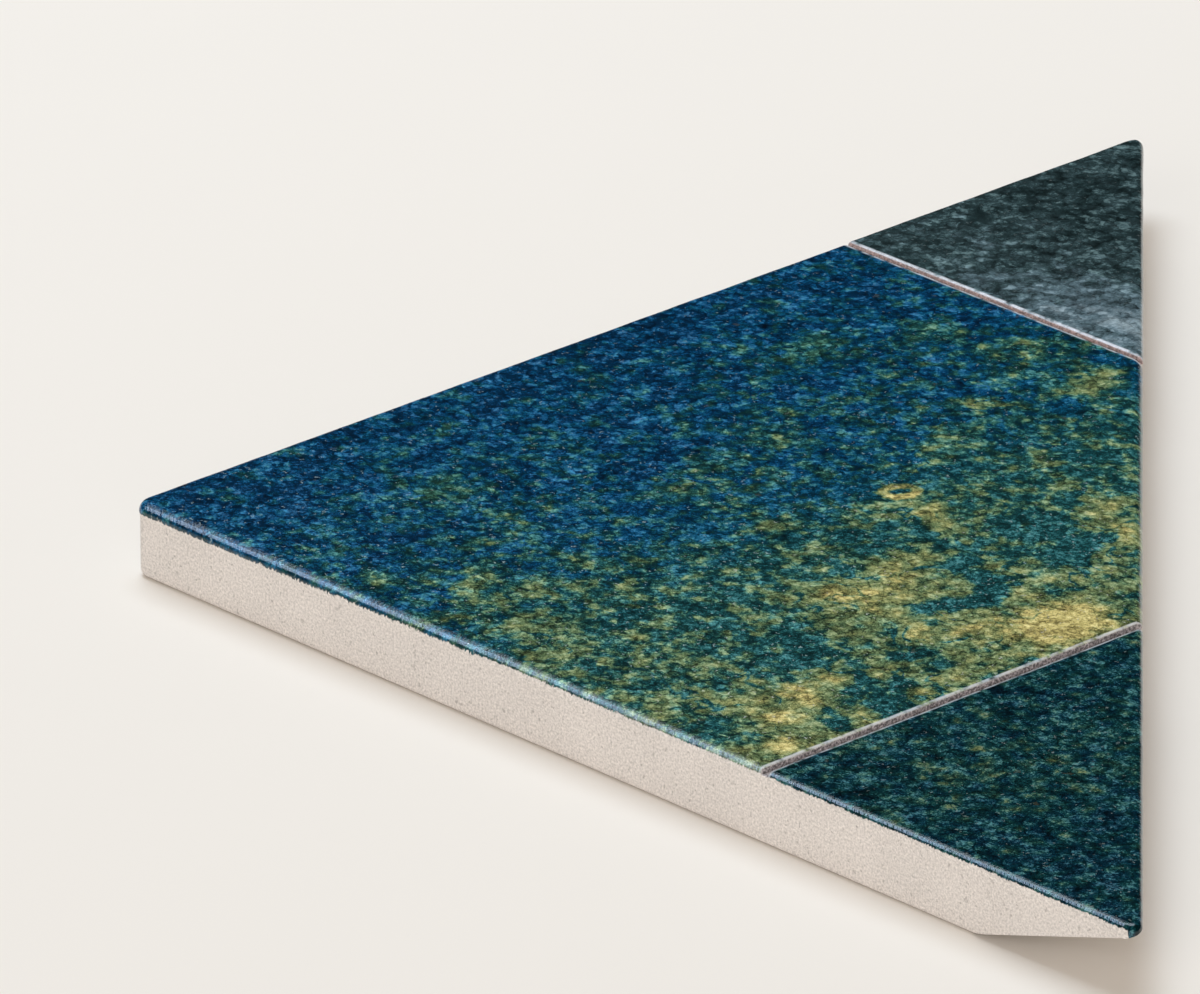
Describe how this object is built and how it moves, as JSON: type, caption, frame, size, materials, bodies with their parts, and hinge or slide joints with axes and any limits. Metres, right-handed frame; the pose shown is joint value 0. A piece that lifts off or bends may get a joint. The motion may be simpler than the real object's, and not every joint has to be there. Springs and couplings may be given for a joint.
{
  "type": "triangular pool step tile",
  "caption": "Triangular glazed ceramic tread tile for a corner pool step, with a scored face, bare clay sides, an undercut nose along the long side and a keyed back.",
  "frame": {"origin": "centre of the bounding box, on the floor plane under the back of the tile", "axes": "+Z out of the glazed face, +X along the front leg away from the square corner, +Y along the back leg away from the square corner"},
  "size_m": [0.1076, 0.1076, 0.006],
  "materials": {
    "glazed_tile": "glossy mottled blue, teal and olive glaze on the face and over its edge, bare sandy clay on the sides, the back and in the joints"
  },
  "bodies": {
    "root": {"step_tile": "glazed_tile"}
  },
  "joints": []
}
